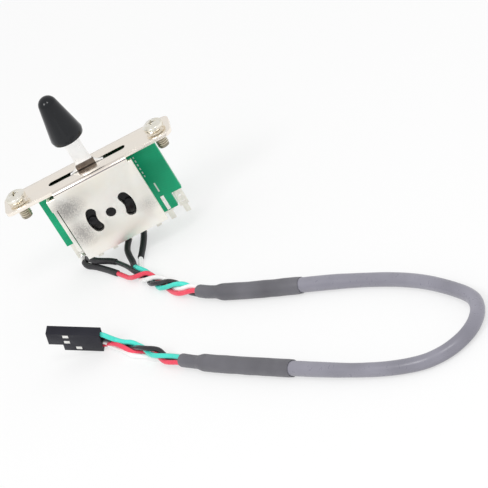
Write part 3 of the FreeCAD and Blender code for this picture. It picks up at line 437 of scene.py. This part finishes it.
def board_finish():
    """Green solder mask over glass cloth, with white dashes beside the front plate."""
    finish = Finish("solder_mask", (0.01, 0.32, 0.15), roughness=0.3)
    finish.set("Specular IOR Level", 0.22)
    weave = finish.node("ShaderNodeTexWave", wave_type="BANDS", bands_direction="DIAGONAL")
    finish.join(finish.place, weave.inputs["Vector"])
    weave.inputs["Scale"].default_value = 900
    cloud = finish.noise(120, detail=2)
    plain = finish.mix(finish.spread(cloud, 0.35, 0.65), (0.009, 0.4, 0.19), (0.013, 0.5, 0.24))
    plain = finish.mix(finish.spread(weave.outputs["Fac"], 0, 1, 0, 0.2), plain, (0.006, 0.27, 0.13))
    front = finish.band(Y, 0.005, 0.0062)
    upper = finish.times(finish.band(X, 0.01055, 0.01085), finish.band(Z, -0.014, -0.007))
    breaks = finish.node("ShaderNodeTexWave", wave_type="BANDS", bands_direction="Z")
    finish.join(finish.place, breaks.inputs["Vector"])
    breaks.inputs["Scale"].default_value = 240
    upper = finish.times(upper, finish.spread(breaks.outputs["Fac"], 0.35, 0.5))
    lower = finish.times(finish.band(X, 0.01165, 0.01205), finish.band(Z, -0.0198, -0.0168))
    white_dashes = finish.times(finish.plus(upper, lower), front)
    finish.colour(finish.mix(white_dashes, plain, (0.78, 0.86, 0.8)))
    finish.bump(weave.outputs["Fac"], 0.000004, 0.3)
    return finish.material


def moulded_finish(name, colour, roughness, grain, depth, shine=0.5):
    """Moulded plastic or rubber with a fine skin."""
    finish = Finish(name, colour, roughness=roughness)
    finish.set("Specular IOR Level", shine)
    skin = finish.noise(grain, detail=5)
    cloud = finish.noise(grain / 12, detail=2)
    lighter = tuple(min(1, value * 1.35 + 0.006) for value in colour)
    finish.colour(finish.mix(finish.spread(cloud, 0.3, 0.7), colour, lighter))
    finish.roughness(finish.spread(skin, 0.25, 0.75, roughness - 0.06, roughness + 0.1))
    finish.bump(skin, depth)
    return finish.material


def make_finishes():
    """Every finish, by the short name that its pieces ask for."""
    return {
        "nickel": nickel_finish(),
        "lever": lever_finish(),
        "screw": screw_finish(),
        "thread": plated_finish("screw_thread", (0.86, 0.82, 0.7), 0.25, 500),
        "tin": plated_finish("solder_tin", (0.95, 0.94, 0.91), 0.2, 700),
        "lug": plated_finish("plated_brass", (1.0, 0.97, 0.89), 0.3, 600),
        "spring": plated_finish("spring_steel", (0.56, 0.55, 0.53), 0.22, 600),
        "board": board_finish(),
        "moulding": moulded_finish("rotor_moulding", (0.004, 0.004, 0.005), 0.2, 1500, 0.000006, 0.25),
        "tip": moulded_finish("polished_tip", (0.002, 0.003, 0.005), 0.15, 400, 0.0000002, 0.4),
        "lug_sleeve": moulded_finish("lug_sleeve_rubber", (0.018, 0.017, 0.02), 0.45, 1600, 0.00002, 0.4),
        "sleeve": moulded_finish("shrink_sleeve", (0.108, 0.106, 0.12), 0.42, 1300, 0.00003),
        "jacket": moulded_finish("cable_jacket", (0.21, 0.205, 0.245), 0.3, 1000, 0.00001, 0.7),
        "plug": moulded_finish("plug_moulding", (0.014, 0.014, 0.021), 0.4, 1800, 0.00001, 0.18),
        "red": moulded_finish("wire_red", (0.78, 0.05, 0.095), 0.3, 900, 0.000008),
        "mint": moulded_finish("wire_mint", (0.05, 0.62, 0.51), 0.3, 900, 0.000008),
        "black": moulded_finish("wire_black", (0.012, 0.012, 0.016), 0.28, 900, 0.000008),
        "white": moulded_finish("wire_white", (0.86, 0.86, 0.85), 0.3, 900, 0.000008),
    }


def link(name, data):
    """An object with this data, placed in the scene."""
    piece = bpy.data.objects.new(name, data)
    bpy.context.scene.collection.objects.link(piece)
    return piece


def mesh_piece(name, bm, finish, smooth_angle=math.radians(35), all_smooth=True):
    """A shape as a piece. Edges that bend more than the angle stay sharp."""
    mesh = bpy.data.meshes.new(name)
    bm.to_mesh(mesh)
    bm.free()
    mesh.materials.append(finish)
    if all_smooth:
        mesh.shade_smooth()
    mesh.set_sharp_from_angle(angle=smooth_angle)
    return link(name, mesh)


def nurbs_curve(name, points):
    """A smooth curve with the points as its control points."""
    data = bpy.data.curves.new(name, "CURVE")
    data.dimensions = "3D"
    spline = data.splines.new("NURBS")
    spline.points.add(len(points) - 1)
    for place, point in zip(points, spline.points):
        point.co = (*place, 1)
    spline.order_u = 3
    spline.use_endpoint_u = True
    return link(name, data)


def line_of(points, resolution=16):
    """The points along the smooth line through a route, and each one's distance from the start."""
    guide = nurbs_curve("guide", points)
    guide.data.splines[0].resolution_u = resolution
    bpy.context.view_layer.update()
    mesh = bpy.data.meshes.new_from_object(guide)
    line = [vertex.co.copy() for vertex in mesh.vertices]
    bpy.data.meshes.remove(mesh)
    bpy.data.objects.remove(guide)
    along = [0.0]
    for first, second in zip(line, line[1:]):
        along.append(along[-1] + (second - first).length)
    return line, along


def direction_at(line, index):
    """The way that a line runs at one of its points."""
    return (line[min(index + 1, len(line) - 1)] - line[max(index - 1, 0)]).normalized()


def swept(line, along, radius_at, swell_at, sides):
    """A closed tube along a line, with a radius for each distance and a small swell round it."""
    bm = bmesh.new()
    last = None
    for index, (centre, distance) in enumerate(zip(line, along)):
        ahead = direction_at(line, index)
        across = ahead.cross(Vector((0, 0, 1))).normalized()
        rise = across.cross(ahead)
        turn = Matrix((across, rise, ahead)).transposed().to_4x4()
        made = bmesh.ops.create_circle(bm, segments=sides, radius=radius_at(distance),
                                       matrix=Matrix.Translation(centre) @ turn)
        ring = made["verts"]
        for number, vert in enumerate(ring):
            swell = swell_at(distance, math.tau * number / sides)
            vert.co = centre + (vert.co - centre) * (1 + swell)
        edges = list(dict.fromkeys(edge for vert in ring for edge in vert.link_edges))
        if last:
            bmesh.ops.bridge_loops(bm, edges=last + edges)
        else:
            bmesh.ops.contextual_create(bm, geom=edges)
        last = edges
    bmesh.ops.contextual_create(bm, geom=last)
    bmesh.ops.recalc_face_normals(bm, faces=bm.faces)
    return bm


def finish_piece(piece, body, slot, *nodes):
    """Put a piece on its body and hide the solids that it replaces. Its slot is not used."""
    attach(piece, body)
    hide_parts(*nodes)
    return piece


def wire(name, points, finish, slot, nodes):
    """One insulated wire: a round bevel on a single smooth spline."""
    piece = nurbs_curve(name, points)
    piece.data.bevel_depth = WIRE_RADIUS
    piece.data.bevel_resolution = 4
    piece.data.use_fill_caps = True
    piece.data.splines[0].resolution_u = 5
    piece.data.materials.append(finish)
    return finish_piece(piece, SWITCH, slot, *nodes)


def length_of(points):
    """The length of the smooth line through a route."""
    return line_of(points)[1][-1]


def eased(share):
    """A share from nothing to one, with a soft start and end."""
    share = min(1.0, max(0.0, share))
    return share * share * (3 - 2 * share)


def rounded_end(distance, total, radius, rim):
    """A tube's radius, drawn in over the rim at both of its ends."""
    near = min(distance, total - distance)
    if near >= rim:
        return radius
    return radius - rim * (1 - math.sqrt(max(0.0, 1 - (1 - near / rim) ** 2)))


def lug_sleeve_radius(distance, total):
    """A lug sleeve is plain between its rounded ends."""
    return rounded_end(distance, total, LUG_SLEEVE_RADIUS, LUG_SLEEVE_RIM)


def stepped_radius(step_at):
    """The radius of a sleeve that shrank onto the wires first and the jacket after its step."""
    def radius(distance, total):
        ease = eased((distance - step_at) / STEP_LENGTH + 0.5)
        full = SLEEVE_NARROW_RADIUS + (SLEEVE_WIDE_RADIUS - SLEEVE_NARROW_RADIUS) * ease
        return rounded_end(distance, total, full, SLEEVE_RIM)
    return radius


def jacket_radius(distance, total):
    """The jacket is fuller near its sleeves than along its middle."""
    near = min(distance, total - distance)
    ease = eased((near - CABLE_FULL_LENGTH) / CABLE_TAPER_LENGTH)
    return CABLE_RADIUS + (CABLE_MIDDLE_RADIUS - CABLE_RADIUS) * ease


def sheath(name, route, finish, slot, node, radius_at, lumps, seed, sides=40, oval=0.0):
    """A sleeve or jacket along a route. Gives the piece, its line and its length."""
    line, along = line_of(on_floor(route), resolution=24)
    total = along[-1]

    def swell(distance, angle):
        place = Vector((distance * LUMPS_PER_METRE + seed,
                        math.cos(angle) * LUMPS_ROUND, math.sin(angle) * LUMPS_ROUND))
        flattened = oval * math.cos(2 * angle - math.tau * distance / CABLE_OVAL_PITCH)
        return noise.noise(place) * lumps + flattened

    bm = swept(line, along, lambda distance: radius_at(distance, total), swell, sides)
    piece = mesh_piece(name, bm, finish)
    finish_piece(piece, SWITCH, slot, node)
    return piece, line, total


def make_lug_sleeves(finishes):
    """The four small black sleeves, by the colour of the wire in each."""
    made = {}
    for number, (colour, route) in enumerate(LUG_SLEEVES.items()):
        made[colour] = sheath(f"black_sleeve_{colour}", route, finishes["lug_sleeve"], "sleeve_black",
                              f"lug_sleeve_{colour}", lug_sleeve_radius, lumps=0.05,
                              seed=number * 7.3, sides=24)[0]
    return made


def make_jacket(finishes):
    """The grey jacket between its two stepped sleeves."""
    upper = sheath("upper_stepped_sleeve", SLEEVE_UPPER, finishes["sleeve"], "sleeve_grey",
                   "shrink_sleeve_upper", stepped_radius(UPPER_STEP_AT), lumps=0.05, seed=3.1)[0]
    lower = sheath("lower_stepped_sleeve", SLEEVE_LOWER, finishes["sleeve"], "sleeve_grey",
                   "shrink_sleeve_lower", stepped_radius(LOWER_STEP_AT), lumps=0.04, seed=8.4)[0]
    jacket, line, total = sheath("grey_jacket", CABLE, finishes["jacket"], "cable_grey", "cable",
                                 jacket_radius, lumps=0.014, seed=5.9, oval=CABLE_OVAL_SHARE)


def make_wires(finishes):
    """Each wire is one cord, from its tail into a stepped sleeve, or from there to the plug."""
    for colour, route in UPPER_WIRES.items():
        points = on_floor(LUG_SLEEVES[colour] + route)
        piece = wire(f"upper_wire_{colour}", points, finishes[colour], f"wire_{colour}",
                     [f"lead_{colour}", "twist_upper"])
        length_of(points)
    for colour, route in LOWER_WIRES.items():
        points = on_floor(reversed(route))
        piece = wire(f"lower_wire_{colour}", points, finishes[colour], f"wire_{colour}",
                     [f"plug_lead_{colour}", "twist_lower"])
        length_of(points)


def softened(name, node, finish, body, slot, width):
    """A copy of a solid's own shape with its sharp edges rounded a little."""
    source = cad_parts[node]
    bm = bmesh.new()
    bm.from_mesh(source.data)
    bm.transform(source.matrix_world)
    bmesh.ops.remove_doubles(bm, verts=bm.verts, dist=MERGE_DISTANCE)
    bmesh.ops.dissolve_limit(bm, angle_limit=FLAT_ANGLE, verts=bm.verts, edges=bm.edges)
    bends = {edge: edge.calc_face_angle() for edge in bm.edges if len(edge.link_faces) == 2}
    sharp = [edge for edge, bend in bends.items() if bend > CREASE_ANGLE]
    for face in bm.faces:
        face.smooth = any(FLAT_ANGLE < bends.get(edge, 0) <= CREASE_ANGLE for edge in face.edges)
    rounded = bmesh.ops.bevel(bm, geom=sharp, offset=width, offset_type="OFFSET", segments=2,
                              profile=0.5, affect="EDGES", clamp_overlap=True, material=-1)
    for face in rounded["faces"]:
        face.smooth = True
    bmesh.ops.triangulate(bm, faces=bm.faces)
    bmesh.ops.remove_doubles(bm, verts=bm.verts, dist=SLIVER_LENGTH)
    bmesh.ops.dissolve_degenerate(bm, dist=SLIVER_LENGTH, edges=bm.edges)
    bmesh.ops.recalc_face_normals(bm, faces=bm.faces)
    piece = mesh_piece(name, bm, finish, CREASE_ANGLE, all_smooth=False)
    return finish_piece(piece, body, slot, node)


def make_threads(finishes):
    """A ridge wound round each screw below the flange."""
    section = [(SHANK_RADIUS - THREAD_SUNK, THREAD_HALF_WIDTH), (SHANK_RADIUS + THREAD_DEPTH, 0.0),
               (SHANK_RADIUS - THREAD_SUNK, -THREAD_HALF_WIDTH)]
    for side in ("left", "right"):
        low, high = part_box(f"mounting_screw_{side}")
        middle = (low.x + high.x) / 2
        steps = int((THREAD_TOP - low.z - THREAD_END_GAP) / THREAD_PITCH * THREAD_STEPS)
        bm = bmesh.new()
        corners = [bm.verts.new((middle + out, 0, THREAD_TOP + up)) for out, up in section]
        bmesh.ops.spin(bm, geom=[bm.faces.new(corners)], cent=(middle, 0, 0), axis=(0, 0, 1),
                       dvec=(0, 0, -THREAD_PITCH / THREAD_STEPS), angle=math.tau * steps / THREAD_STEPS,
                       steps=steps)
        bmesh.ops.recalc_face_normals(bm, faces=bm.faces)
        piece = mesh_piece(f"screw_thread_{side}", bm, finishes["thread"])
        finish_piece(piece, SWITCH, "nickel_steel", f"mounting_screw_{side}")


def make_solder(finishes):
    """A rounded drop of solder on each lug in use."""
    low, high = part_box("solder_joints")
    middle = (low + high) / 2
    reach = Vector((DROP_HALF_WIDTH, (high.y - low.y) * DROP_DEPTH_SHARE,
                    (high.z - low.z) * DROP_HEIGHT_SHARE))
    bm = bmesh.new()
    for number in SOLDERED_LUGS:
        lug_low, lug_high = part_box(f"solder_lug_{number}")
        place = Vector(((lug_low.x + lug_high.x) / 2, middle.y, middle.z))
        made = bmesh.ops.create_icosphere(bm, subdivisions=4, radius=1.0)
        for vert in made["verts"]:
            lump = 1 + DROP_LUMPS * noise.noise(vert.co * 1.7 + Vector((number * 5.1, 0, 0)))
            vert.co = place + vert.co * reach * lump
    piece = mesh_piece("solder_drops", bm, finishes["tin"], math.radians(80))
    finish_piece(piece, SWITCH, "tin", "solder_joints")


def make_solids(finishes):
    """The solids that show most, with softened edges."""
    softened("steel_frame", "frame", finishes["nickel"], SWITCH, "nickel_steel", FULL_ROUND)
    softened("green_board", "circuit_board", finishes["board"], SWITCH, "board_green", FINE_ROUND)
    softened("black_rotor", "rotor", finishes["moulding"], ARM, "black_moulding", PLAIN_ROUND)
    softened("steel_lever", "lever", finishes["lever"], ARM, "nickel_steel", PLAIN_ROUND)
    softened("black_tip", "lever_tip", finishes["tip"], ARM, "tip_black", FULL_ROUND)
    softened("plug_body", "plug_housing", finishes["plug"], SWITCH, "plug_black", FINE_ROUND)
    for side in ("left", "right"):
        softened(f"screw_{side}", f"mounting_screw_{side}", finishes["screw"], SWITCH, "nickel_steel",
                 FINE_ROUND)


def dress(finishes):
    """The solids that keep their own meshes get their finishes."""
    named = {
        "contact_tracks": "lug", "solder_pads": "tin", "detent_plate": "spring",
        "detent_ball": "spring", "detent_spring": "spring", "wiper_left": "spring", "wiper_right": "spring",
    }
    for number in range(1, LUG_COUNT + 1):
        named[f"solder_lug_{number}"] = "lug"
    for number in range(1, PLUG_WAYS + 1):
        named[f"plug_terminal_{number}"] = "tin"
    for node, finish in named.items():
        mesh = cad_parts[node].data
        mesh.materials.clear()
        mesh.materials.append(finishes[finish])


def lamp(name, place, size, power):
    """A square lamp that faces the middle of the object."""
    data = bpy.data.lights.new(name, "AREA")
    data.size = size
    data.energy = power
    made = link(name, data)
    heading = Vector(LAMP_AIM) - Vector(place)
    made.rotation_mode = "QUATERNION"
    made.rotation_quaternion = heading.to_track_quat("-Z", "Y")
    made.location = place


def floor_finish():
    """Matt near-white, glowing a little to the camera and in reflections so that it reads as white."""
    finish = Finish("studio_floor", (0.92, 0.92, 0.92), roughness=0.9)
    glow = finish.node("ShaderNodeEmission")
    glow.inputs["Color"].default_value = (1, 1, 1, 1)
    path = finish.node("ShaderNodeLightPath")
    seen = finish.plus(path.outputs["Is Camera Ray"], path.outputs["Is Glossy Ray"])
    seen = finish.plus(seen, path.outputs["Is Transmission Ray"])
    blend = finish.node("ShaderNodeMixShader")
    finish.join(finish.times(seen, FLOOR_GLOW), blend.inputs[0])
    finish.join(finish.shader.outputs[0], blend.inputs[1])
    finish.join(glow.outputs[0], blend.inputs[2])
    finish.join(blend.outputs[0], finish.tree.nodes["Material Output"].inputs["Surface"])
    return finish.material


def make_studio():
    """A pale floor, an even white surround and two soft lamps."""
    scene = bpy.context.scene
    scene.view_settings.view_transform = "Standard"
    scene.world = bpy.data.worlds.new("studio")
    scene.world.use_nodes = True
    surround = scene.world.node_tree.nodes["Background"]
    surround.inputs["Color"].default_value = (1, 1, 1, 1)
    surround.inputs["Strength"].default_value = WORLD_STRENGTH
    lamp("key", place=(-0.38, -0.45, 0.65), size=0.26, power=1.7)
    lamp("fill", place=(0.25, -0.5, 0.75), size=0.22, power=1.2)

    bm = bmesh.new()
    bmesh.ops.create_grid(bm, x_segments=1, y_segments=1, size=FLOOR_HALF_WIDTH,
                          matrix=Matrix.Translation((0, 0, floor_z - FLOOR_DROP)))
    mesh_piece("floor", bm, floor_finish())


make_camera()
finishes = make_finishes()
lug_sleeves = make_lug_sleeves(finishes)
make_jacket(finishes)
make_wires(finishes)
make_solids(finishes)
make_threads(finishes)
make_solder(finishes)
dress(finishes)
make_studio()
